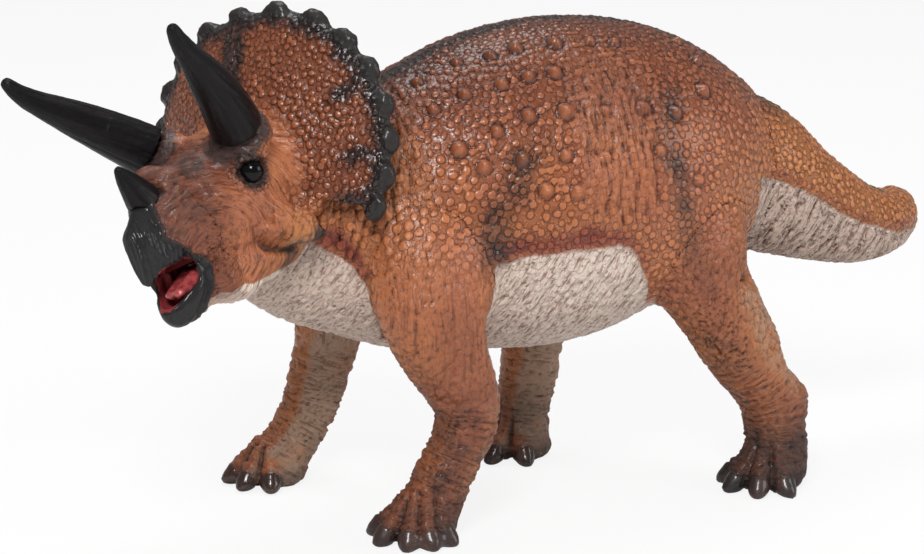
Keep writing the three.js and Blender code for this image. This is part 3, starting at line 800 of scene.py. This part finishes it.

    # The relief mark: how far each point lies below the smoothed skin round it, stronger toward the top of
    # the back; the paint darkens the low points with it as painted shade.
    level = skin.soften(height, 8)
    shade = 0.55 + 0.45 * ramp(60, 84, z)
    bumpy = np.clip(1 - cream * 0.5 - lower * 0.85 - 0.7 * upper - 0.55 * flank - 0.3 * neck, 0, 1)
    creased = lower + flank * 0.9 + neck * 0.7 + cream * 0.4 + 0.5 * under + 0.6 * upper + 0.12
    seams = ramp(0.0, 0.3, np.abs(lower - 0.5)) * ramp(0.0, 0.3, np.abs(cream - 0.5))
    skin.mark(relief=np.clip(0.5 + (height - level) * 2.2 * shade, 0, 1), cream=cream,
              # The furrows between the toes also get the dark paint, as painted shade.
              dark=np.maximum(dark, 0.8 * between * ramp(10, 5, z)), red=red, tan=tan, ochre=ochre, deep=deep,
              nail=nail, mouth=np.zeros(len(x)), black=nail * (0.35 + 0.35 * hind) * ramp(-0.5, 0.3, drift),
              share=share, lot=lot, pebble=skin.soften(bumpy, 16) * (1 - nail),
              wrinkle=np.clip(creased, 0, 1) * (1 - nail) * seams)
    ring_like = rows(distance * 1.5, x * 0.25, y * 0.25)
    upright = rows(x * 1.5, y * 0.35, z * 0.16)
    slanted = rows((x - 0.5 * z) * 2.2, y * 0.6, (z + 0.4 * x) * 0.42)
    grain = np.where((cream > 0.5)[:, None], slanted, upright)
    skin.mark_grain(np.where((lower > 0.5)[:, None], ring_like, grain))
    return skin


# Places in the head's own frame, on its near side
HEAD_EYE = np.array([-12.5, -10.8, 3.3])
BROW_BOSS = np.array([-10.6, -9.2, 9.3])
BROW_AXIS = np.array([-0.61, -0.40, 0.68])
NOSTRIL = np.array([-31.4, -3.6, 0.4])
HORN_LINE = [(-9.6, -8.6, 8.4), (-13.6, -11.3, 13), (-18.4, -14.1, 17.9), (-22.8, -16.2, 21.9),
             (-26.6, -17.9, 25.2), (-29.6, -19.1, 28), (-31.4, -20, 31)]
NOSE_LINE = [(-27.9, 0, 1.8), (-29.9, 0, 5.4), (-31.9, 0, 8.7), (-33.2, 0, 11)]
SPIKE_TIP = np.array([-3.6, -14.4, -11.5])
SPIKE_LINE = [(-9.6, -8.6, -5.8), (-6.8, -11.4, -8.4), (-4.6, -13.6, -10.6), (-3.6, -14.4, -11.5)]
# The cheek spike's radius along its line
SPIKE_RADIUS = [(0, 4.4), (4.7, 3.9), (8.5, 2.7), (9.9, 1.3)]
# The height of the frill's middle, and the rim's radius round it by the angle from the crown in degrees
FRILL_MIDDLE = 2.5
RIM_RADIUS = [(0, 27), (36, 27.9), (66, 27.8), (94, 26.8), (120, 25.6)]
# Dark ribs on the frill: angle from the crown in degrees, and the radius they fade out at
FRILL_RIBS = [(3, 12), (68, 19.5), (97, 18.5), (118, 17.5)]
# The border of the black paint on the beak and the jaw: height and how far forward, in the head's own frame
BEAK_BORDER = [(-9.3, -25.3), (-7.6, -25.9), (-6.5, -27.1), (-5.4, -28), (-3.9, -29.7), (-2.3, -31.1),
               (1.9, -30.4)]
JAW_BORDER = [(-18, -27.2), (-15.6, -26.9), (-13.8, -25.6), (-12, -25.0), (-9.6, -25.0), (-8.8, -25.2)]
BEAK_RIB_PITCH = 1.1

# Flesh at the mouth's corners, between muzzle and cheek and before the brows: place, size, twist and sides
ONCE, BOTH = (1,), (1, -1)
HEAD_FILLS = [
    ((-23.9, -4.9, -9.3), (8, 2.8, 7.4), 0, ONCE), ((-24.6, 4.9, -9.2), (10.4, 2.8, 8), 0, ONCE),
    ((-20.6, -5.2, -11.6), (9, 4.2, 9), 0, BOTH), ((-20.5, -5.4, -3), (17, 6, 11), -14, BOTH),
    ((-22, 0, 6.2), (10, 9, 6), 0, ONCE), ((-24, -3.2, 2.4), (11, 6, 6.4), 0, BOTH),
    ((-5.7, -12.7, -8.6), (6.4, 5.6, 6.4), 0, BOTH), ((-0.5, -11, -6.2), (6.5, 6, 5), 0, BOTH),
    ((-29, 0, 2.5), (8.8, 7, 5.4), 0, ONCE), ((-16.5, -3, -15.4), (13, 7, 5.4), 0, ONCE),
    ((-22, 3.6, 7.4), (8, 6, 5.6), 0, ONCE),
]

# The hollow of the lower jaw at each point forward: its middle height, half height and half width
JAW_HOLLOW = [(-33, -12.6, 2.6, 1.6), (-31, -12.3, 3.3, 2.5), (-29.6, -10.8, 4.8, 3.7), (-27, -9.3, 5.7, 4.6),
              (-23.4, -8.2, 5.2, 5.1), (-18.6, -7.8, 3.8, 4.7)]


def mouth_share(own):
    """1 on the lining of the mouth and 0 outside it."""
    x, y, z = own.T
    table = np.array(JAW_HOLLOW)
    middle, half_height, half_width = (np.interp(x, table[:, 0], column) for column in table.T[1:])
    lower = (y / (half_width + 0.25)) ** 2 + ((z - middle) / (half_height + 0.25)) ** 2
    palate = ((x + 27) / 7.2) ** 2 + (y / 4.3) ** 2 + ((z + 8.8) / 2.75) ** 2
    found = np.where(z < -8.8, lower, palate)
    return ramp(1.08, 0.98, found) * (x > -33.2) * (x < -19)


def sculpt_head(sizes):
    parts = [node_copy(node, HEAD_SWELL) for node in (*HEAD_NODES, "eye_left", "eye_right")]
    for (ahead, across, up), size, twist, sides in HEAD_FILLS:
        for side in sides:
            turn = HEAD_TURN.to_matrix() @ Matrix.Rotation(math.radians(twist * side), 3, "Z")
            parts.append(ellipsoid(head_place((ahead, across * side, up)), size, turn))
    skin = Skin(remeshed(parts, sizes.head_voxel))
    x, y, z = head_local(skin.points).T
    skin.relax(32, 0.35 + 0.6 * ramp(-25, -20, x) * ramp(13, 10, np.hypot(y, z - FRILL_MIDDLE)))
    skin.push(-HEAD_SWELL)
    own = head_local(skin.points)
    pinch = ramp(1, -9, own[:, 2]) * ramp(-29, -34.5, own[:, 0]) * (own[:, 2] > -10.6)
    own[:, 1] *= 1 - 0.5 * pinch
    skin.points = own @ HEAD_MATRIX.T + HEAD_SEAT
    x, y, z = own.T
    left = np.where((y < 0)[:, None], own, own * (1, -1, 1))
    angle = np.degrees(np.arctan2(-left[:, 1], z - FRILL_MIDDLE))
    radius = np.hypot(y, z - FRILL_MIDDLE)
    drift = layered_noise(own, 2.2, 60)
    rim = radius - along(RIM_RADIUS, np.abs(angle))
    frill = ramp(11, 14.5, radius) * ramp(131, 124, angle) * ramp(-9, -4, x)
    face = 1 - frill
    eye = distance_to(left, HEAD_EYE)
    spike = distance_to(left, SPIKE_TIP)
    up_brow = (left - BROW_BOSS) @ BROW_AXIS
    brow = ramp(8.0, 6.6, distance_to(left, BROW_BOSS))

    # Painted areas
    border = x - np.where(z > -9, along(BEAK_BORDER, z), along(JAW_BORDER, z))
    black = ramp(0.8, -0.8, border + 0.7 * drift)
    inside = mouth_share(own)
    ribs = np.zeros(len(x))
    for place, fade in FRILL_RIBS:
        across = radius * np.radians(angle - place)
        ribs = np.maximum(ribs, bump(across + 0.8 * drift, 2.0) * ramp(fade - 2, fade + 3, radius))
    knobs = ramp(-2.0, -0.6, rim + 0.4 * drift) * frill
    dark = np.maximum.reduce([
        np.maximum(ramp(-4.2, -1.2, rim + 1.2 * drift), ribs * 0.95) * frill,
        brow * ramp(-1.2, 1.6, up_brow + 0.8 * drift) * 0.92,
        ramp(5.0, 3.0, distance_to(own, (-27.6, 0, 2.2)) + 0.8 * drift),
        ramp(4.3, 2.8, eye) * 0.95,
        0.56 * ramp(3, 8, z) * ramp(-9, -16, x) * (0.85 + 0.5 * drift),
        0.74 * ramp(5.0, 1.8, distance_to(left, (-19.5, -3.6, 7.6)) + drift),
        0.5 * ramp(-14, -23, x) * ramp(-8, -1, z) * (0.8 + 0.6 * drift),
        0.95 * ramp(3.6, 2.2, spike + 0.5 * drift),
        # A dark patch on the cheek under the spike: a painted shadow of the spike.
        0.72 * ramp(4.2, 1.6, distance_to(left, (-6.6, -10.4, -14.0), (1, 0.5, 0.8)) + drift),
    ])
    cream = ramp(-14.6, -16.0, z + 0.5 * drift) * (x > -27)
    tan = np.clip(ramp(9.5, 5, spike) * 0.22 + 0.25 * ramp(-8, -13, z) * ramp(-24, -18, x), 0, 1)
    cheek = 0.5 * ramp(-16, -8, x) * ramp(0, -8, z)
    forehead = ramp(1, 5, z) * ramp(-11, -16, x) * face

    # Scales, wrinkles and ridges
    share, lot = scale_pattern(skin, 1.14 + 0.18 * ramp(22, 12, radius))
    scales = (dome(share) - 0.45) * (0.14 + 0.18 * lot ** 2)
    height = scales * frill * ramp(0.2, -1.4, rim) * sizes.scale_height
    height += 0.5 * ribs * frill * drift
    height += 0.22 * layered_noise(own, 1.2, 62) * ramp(-3, 0, rim) * frill
    height += 0.5 * bump(eye - 3.4, 0.7) - 0.5 * bump(eye - 2.35, 0.4)
    mouth_ring = np.hypot(x + 23.5, z + 9)
    turned = np.arctan2(z + 9, x + 23.5)
    skin_face = face * (1 - black) * ramp(2.5, 4.0, eye)
    height -= 0.34 * creases(rows(mouth_ring / 0.9, turned * 2.2, y / 6), 63) * skin_face
    height -= 0.22 * creases(rows(mouth_ring / 2.6, turned * 1.4, y / 8), 64) * skin_face
    height -= 0.3 * creases(rows(up_brow / 0.8, left[:, 1] / 6, left[:, 0] / 6), 66) * brow * face
    beads = scale_pattern(skin, np.full(len(x), 1.15))[0]
    ring = ramp(4.6, 3.8, eye) * ramp(2.3, 2.8, eye)
    beaded = ring * face
    height += (dome(beads) - 0.45) * (0.2 + 0.2 * ring) * beaded
    share = np.where(beaded > 0.3, beads, share)
    height += 0.1 * layered_noise(own, 0.9, 65) * (1 - inside) * (1 - 0.8 * black)
    across_beak = 0.86 * x + 0.51 * np.abs(y)
    ribbed = black * ramp(2.0, -1.0, z) * ramp(-9.4, -8.6, z) * (1 - inside)
    height += 0.2 * np.sin(2 * math.pi * (across_beak + 0.12 * drift) / BEAK_RIB_PITCH) * ribbed
    height += 0.5 * bump(np.abs(y) - 1.9 - 0.12 * (2 - z), 0.45) * ribbed * ramp(-30, -32, x)
    height += 0.42 * bump(border + 0.1, 0.55) * ramp(-18, -16, z) - 0.35 * bump(border + 1.4, 0.6) * black
    height -= 0.7 * bump(distance_to(left, NOSTRIL), 1.3)
    reached, off_line = line_distance(left, SPIKE_LINE)
    beside = np.linalg.norm(off_line, axis=1) - along(SPIKE_RADIUS, reached)
    fold = bump(beside - 0.9, 0.75) * (ramp(0.2, -0.6, off_line[:, 2]) * ramp(-16, -12, x) * face)
    height -= 1.4 * fold
    spike_rings = creases(rows(reached / 0.8, y / 5, z / 5), 67)
    height -= 0.3 * spike_rings * ramp(1.2, 0.4, beside) * ramp(1, 3, reached)
    skin.push(height)

    # The relief mark: how far each point lies below the smoothed skin round it; the paint darkens the low
    # points with it as painted shade.
    level = skin.soften(height, 8)
    calm = (1 - 0.5 * dark) * ramp(0, 0.3, np.abs(black - 0.5))
    skin.mark(relief=np.clip(0.5 + (height - level) * 2.0, 0, 1), cream=cream * (1 - black),
              # 0.6 * fold darkens the fold under the cheek spike as painted shade.
              dark=np.maximum.reduce([dark, black, 0.6 * fold]),
              black=np.maximum(black, 0.8 * knobs) * (1 - inside), share=share, lot=lot,
              red=np.zeros(len(x)), tan=tan, ochre=np.maximum(cheek, ramp(10, 6, spike)) * face,
              deep=np.clip(0.85 * frill + ramp(-16, -24, x) + forehead + 0.1, 0, 1) * ramp(4, 9, spike),
              nail=np.maximum(black * 0.8, knobs * 0.4), mouth=inside,
              pebble=np.clip(frill * ramp(0.2, -1.4, rim) + 0.5 * beaded + 0.06, 0, 1) * (1 - black),
              wrinkle=face * np.maximum(calm, 0.5 * black) * (1 - inside))
    arcs_grain = rows(mouth_ring * 1.9, turned * 3.6, y * 0.3)
    ridge_grain = rows(across_beak * 2.0, y * 0.2, z * 0.1)
    skin.mark_grain(np.where((black > 0.5)[:, None], ridge_grain, arcs_grain))
    return skin


def sculpt_horn(node, line, flip):
    skin = Skin(remeshed([node_copy(node)], FINE_GRID))
    skin.relax(22, 0.9)
    own = head_local(skin.points) * (1, flip, 1)
    distance, away = line_distance(own, line)
    round_it = away / np.maximum(np.linalg.norm(away, axis=1), 0.3)[:, None]
    length = np.linalg.norm(np.diff(np.array(line, float), axis=0), axis=1).sum()
    lengthwise = round_it * 2.2 + np.outer(distance, (0.03, 0.03, 0.06))
    near_base = ramp(1.0, 0.3, distance / length)
    skin.push(-0.16 * creases(lengthwise, 71) * near_base + 0.05 * layered_noise(own, 1.5, 72))
    skin.mark_grain(round_it * 4.0 + np.outer(distance, (0.05, 0.05, 0.1)))
    return skin


def whole_piece(skin, node, material):
    skin.store()
    made = bmesh.new()
    made.from_mesh(skin.mesh)
    publish(made, node, material, node + "_skin")


# Settings

def colour_property(name, description, default):
    return FloatVectorProperty(name=name, description=description, default=default, size=3, min=0, max=1,
                               subtype="COLOR_GAMMA")


class DinosaurPaint(bpy.types.PropertyGroup):
    skin: colour_property("Skin", "Orange-brown of the skin", (0.65, 0.38, 0.255))
    skin_warm: colour_property("Warm skin", "Lighter orange patches", (0.71, 0.43, 0.27))
    skin_deep: colour_property("Deep skin", "Red-brown mottling", (0.46, 0.24, 0.15))
    ochre: colour_property("Ochre skin", "Yellower brown of the tail and the folds", (0.70, 0.44, 0.24))
    # Multiplied into the grooves, creases and pits: the figure's dark wash together with painted shade.
    groove: colour_property("Grooves", "Wash that lies between the scales", (0.42, 0.28, 0.24))
    cream: colour_property("Underside", "Cream of belly, throat and tail", (0.86, 0.79, 0.74))
    cream_shade: colour_property("Underside shade", "Greyer cream in the creases", (0.70, 0.585, 0.52))
    red: colour_property("Border", "Red-brown line round the underside", (0.46, 0.18, 0.13))
    tan: colour_property("Inner legs", "Grey tan on the inside of the legs", (0.64, 0.52, 0.43))
    dark: colour_property("Dark paint", "Spine, bands, feet and frill rim", (0.19, 0.13, 0.12))
    horn: colour_property("Horn", "Black of horns and beak", (0.045, 0.038, 0.045))
    # Painted highlight on the horns' raised grain, and their scuffs of wear.
    horn_sheen_and_wear: colour_property("Worn horn", "Greyer streaks along the horns", (0.11, 0.09, 0.10))
    mouth: colour_property("Mouth", "Red inside the mouth", (0.52, 0.17, 0.18))
    tongue: colour_property("Tongue", "Lighter red of the tongue", (0.72, 0.32, 0.32))
    eye: colour_property("Eye", "Black of the eyes", (0.03, 0.025, 0.025))


class DinosaurSizes(bpy.types.PropertyGroup):
    voxel: FloatProperty(name="Body grid", description="Squares that the body is sculpted in, in mm",
                         default=0.485, min=0.3, max=2.0)
    head_voxel: FloatProperty(name="Head grid", description="Squares that the head is sculpted in, in mm",
                              default=0.36, min=0.25, max=2.0)
    scale_height: FloatProperty(name="Scale height", description="Height of the scales against the plot",
                                default=1.0, min=0.0, max=2.0, subtype="FACTOR")
    cone_height: FloatProperty(name="Cone height", description="Height of the cone scales against the plot",
                               default=1.0, min=0.0, max=2.0, subtype="FACTOR")


# Operators

def settings():
    return bpy.context.scene.dinosaur_paint, bpy.context.scene.dinosaur_sizes


class DINOSAUR_OT_body(bpy.types.Operator):
    """Sculpt and paint the torso, the tail and the four legs"""
    bl_idname = "dinosaur.body"
    bl_label = "Body, tail and legs"

    def execute(self, context):
        paints, sizes = settings()
        skin = sculpt_body(sizes)
        material = shared_material("painted_skin", paints)
        split_by_owner(skin, BODY_NODES, material)
        return {"FINISHED"}


class DINOSAUR_OT_head(bpy.types.Operator):
    """Sculpt and paint the head, its frill, the beak and the jaw"""
    bl_idname = "dinosaur.head"
    bl_label = "Head and beak"

    def execute(self, context):
        paints, sizes = settings()
        skin = sculpt_head(sizes)
        material = shared_material("painted_skin", paints)
        split_by_owner(skin, HEAD_NODES, material)
        return {"FINISHED"}


class DINOSAUR_OT_horns(bpy.types.Operator):
    """Sculpt and paint the two brow horns and the nose horn"""
    bl_idname = "dinosaur.horns"
    bl_label = "Horns"

    def execute(self, context):
        material = shared_material("painted_horn", settings()[0])
        for node, line, flip in (("brow_horn_left", HORN_LINE, 1), ("brow_horn_right", HORN_LINE, -1),
                                 ("nose_horn", NOSE_LINE, 1)):
            whole_piece(sculpt_horn(node, line, flip), node, material)
        return {"FINISHED"}


class DINOSAUR_OT_mouth(bpy.types.Operator):
    """Shape and paint the tongue"""
    bl_idname = "dinosaur.mouth"
    bl_label = "Tongue"

    def execute(self, context):
        skin = Skin(remeshed([node_copy("tongue")], FINE_GRID))
        skin.relax(16, 0.9)
        own = head_local(skin.points)
        skin.push(-0.3 - 0.35 * bump(own[:, 1], 0.7) + 0.1 * layered_noise(own, 1.2, 81))
        whole_piece(skin, "tongue", shared_material("mouth_paint", settings()[0]))
        return {"FINISHED"}


class DINOSAUR_OT_eyes(bpy.types.Operator):
    """Shape and paint the eyes"""
    bl_idname = "dinosaur.eyes"
    bl_label = "Eyes"

    def execute(self, context):
        material = shared_material("eye_gloss", settings()[0])
        for node, flip in (("eye_left", 1), ("eye_right", -1)):
            ball = ellipsoid(head_place(HEAD_EYE * (1, flip, 1)), [EYE_SIZE] * 3, segments=48)
            publish(ball, node, material, node + "_ball")
        return {"FINISHED"}


class DINOSAUR_OT_stage(bpy.types.Operator):
    """Set up the floor, the lamps and the camera"""
    bl_idname = "dinosaur.stage"
    bl_label = "Stage"

    def execute(self, context):
        build_stage()
        return {"FINISHED"}


MATERIAL_MAKERS = {"painted_skin": skin_material, "painted_horn": horn_material,
                   "mouth_paint": mouth_material, "eye_gloss": eye_material}


def shared_material(name, paints):
    return bpy.data.materials.get(name) or MATERIAL_MAKERS[name](paints)


# Lamps: place, size and power, in metres and watts
LAMPS = {"key": ((-0.35, -0.55, 0.65), 0.24, 5.6), "fill": ((0.6, -0.5, 0.35), 0.4, 2.0),
         "top": ((0.05, 0.25, 0.8), 0.4, 3.2)}
# The camera: the plotted spot it looks at, its bearing and height angle in degrees, and its distance
LOOK_AT = (0, -15, 45)
AZIMUTH, ELEVATION = -25, 14
CAMERA_DISTANCE = 0.56


def build_stage():
    scene = bpy.context.scene
    grid = bmesh.new()
    bmesh.ops.create_grid(grid, x_segments=8, y_segments=8, size=1.6)
    floor = put("floor", as_mesh(grid, "floor"))
    graph = Graph("floor_paper")
    graph.set(Base_Color=(0.82, 0.82, 0.82, 1), Roughness=0.9)
    glow = graph.node("ShaderNodeEmission", {}, (1, 1, 1, 1), 1.0)
    seen = graph.node("ShaderNodeLightPath", {}, out="Is Camera Ray")
    mixed = graph.node("ShaderNodeMixShader", {}, seen * 0.86, Wire(graph, graph.shader.outputs[0]), glow)
    graph.tree.links.new(mixed.socket, graph.tree.nodes["Material Output"].inputs["Surface"])
    floor.data.materials.append(graph.material)

    world = bpy.data.worlds.new("studio")
    scene.world = world
    world.use_nodes = True
    nodes, links = world.node_tree.nodes, world.node_tree.links
    path = nodes.new("ShaderNodeLightPath")
    strength = nodes.new("ShaderNodeMapRange")
    strength.inputs["To Min"].default_value = 0.26
    strength.inputs["To Max"].default_value = 1.0
    links.new(path.outputs["Is Camera Ray"], strength.inputs["Value"])
    links.new(strength.outputs[0], nodes["Background"].inputs["Strength"])
    nodes["Background"].inputs["Color"].default_value = (1, 1, 1, 1)

    target = Vector(ORIGIN + LOOK_AT) * MM
    for name, (place, size, power) in LAMPS.items():
        lamp = bpy.data.lights.new(name, "AREA")
        lamp.size = size
        lamp.energy = power
        holder = put(name, lamp)
        holder.location = place
        holder.rotation_euler = (target - Vector(place)).to_track_quat("-Z", "Y").to_euler()

    camera = bpy.data.cameras.new("camera")
    camera.lens = 120
    camera.sensor_width = 36
    camera.clip_start = 0.01
    viewer = put("camera", camera)
    azimuth, elevation = math.radians(AZIMUTH), math.radians(ELEVATION)
    level = math.cos(elevation)
    back = Vector((math.sin(azimuth) * level, -math.cos(azimuth) * level, math.sin(elevation)))
    viewer.location = target + back * CAMERA_DISTANCE
    viewer.rotation_euler = back.to_track_quat("Z", "Y").to_euler()
    scene.camera = viewer
    scene.view_settings.view_transform = "Standard"


class DINOSAUR_PT_panel(bpy.types.Panel):
    """Sizes, paints and steps of the dinosaur figure"""
    bl_label = "Horned dinosaur"
    bl_space_type = "VIEW_3D"
    bl_region_type = "UI"
    bl_category = "Dinosaur"

    def draw(self, context):
        for group in settings():
            for name in group.__annotations__:
                self.layout.prop(group, name)
        for step in STEPS:
            self.layout.operator(step.bl_idname)


STEPS = (DINOSAUR_OT_stage, DINOSAUR_OT_body, DINOSAUR_OT_head, DINOSAUR_OT_horns, DINOSAUR_OT_mouth,
         DINOSAUR_OT_eyes)
CLASSES = (DinosaurPaint, DinosaurSizes, *STEPS, DINOSAUR_PT_panel)


def register():
    for one in CLASSES:
        bpy.utils.register_class(one)
    bpy.types.Scene.dinosaur_paint = PointerProperty(type=DinosaurPaint)
    bpy.types.Scene.dinosaur_sizes = PointerProperty(type=DinosaurSizes)


def unregister():
    del bpy.types.Scene.dinosaur_sizes
    del bpy.types.Scene.dinosaur_paint
    for one in reversed(CLASSES):
        bpy.utils.unregister_class(one)


def main():
    register()
    bpy.ops.dinosaur.stage()
    bpy.ops.dinosaur.body()
    bpy.ops.dinosaur.head()
    bpy.ops.dinosaur.horns()
    bpy.ops.dinosaur.mouth()
    bpy.ops.dinosaur.eyes()


if __name__ == "__main__":
    main()
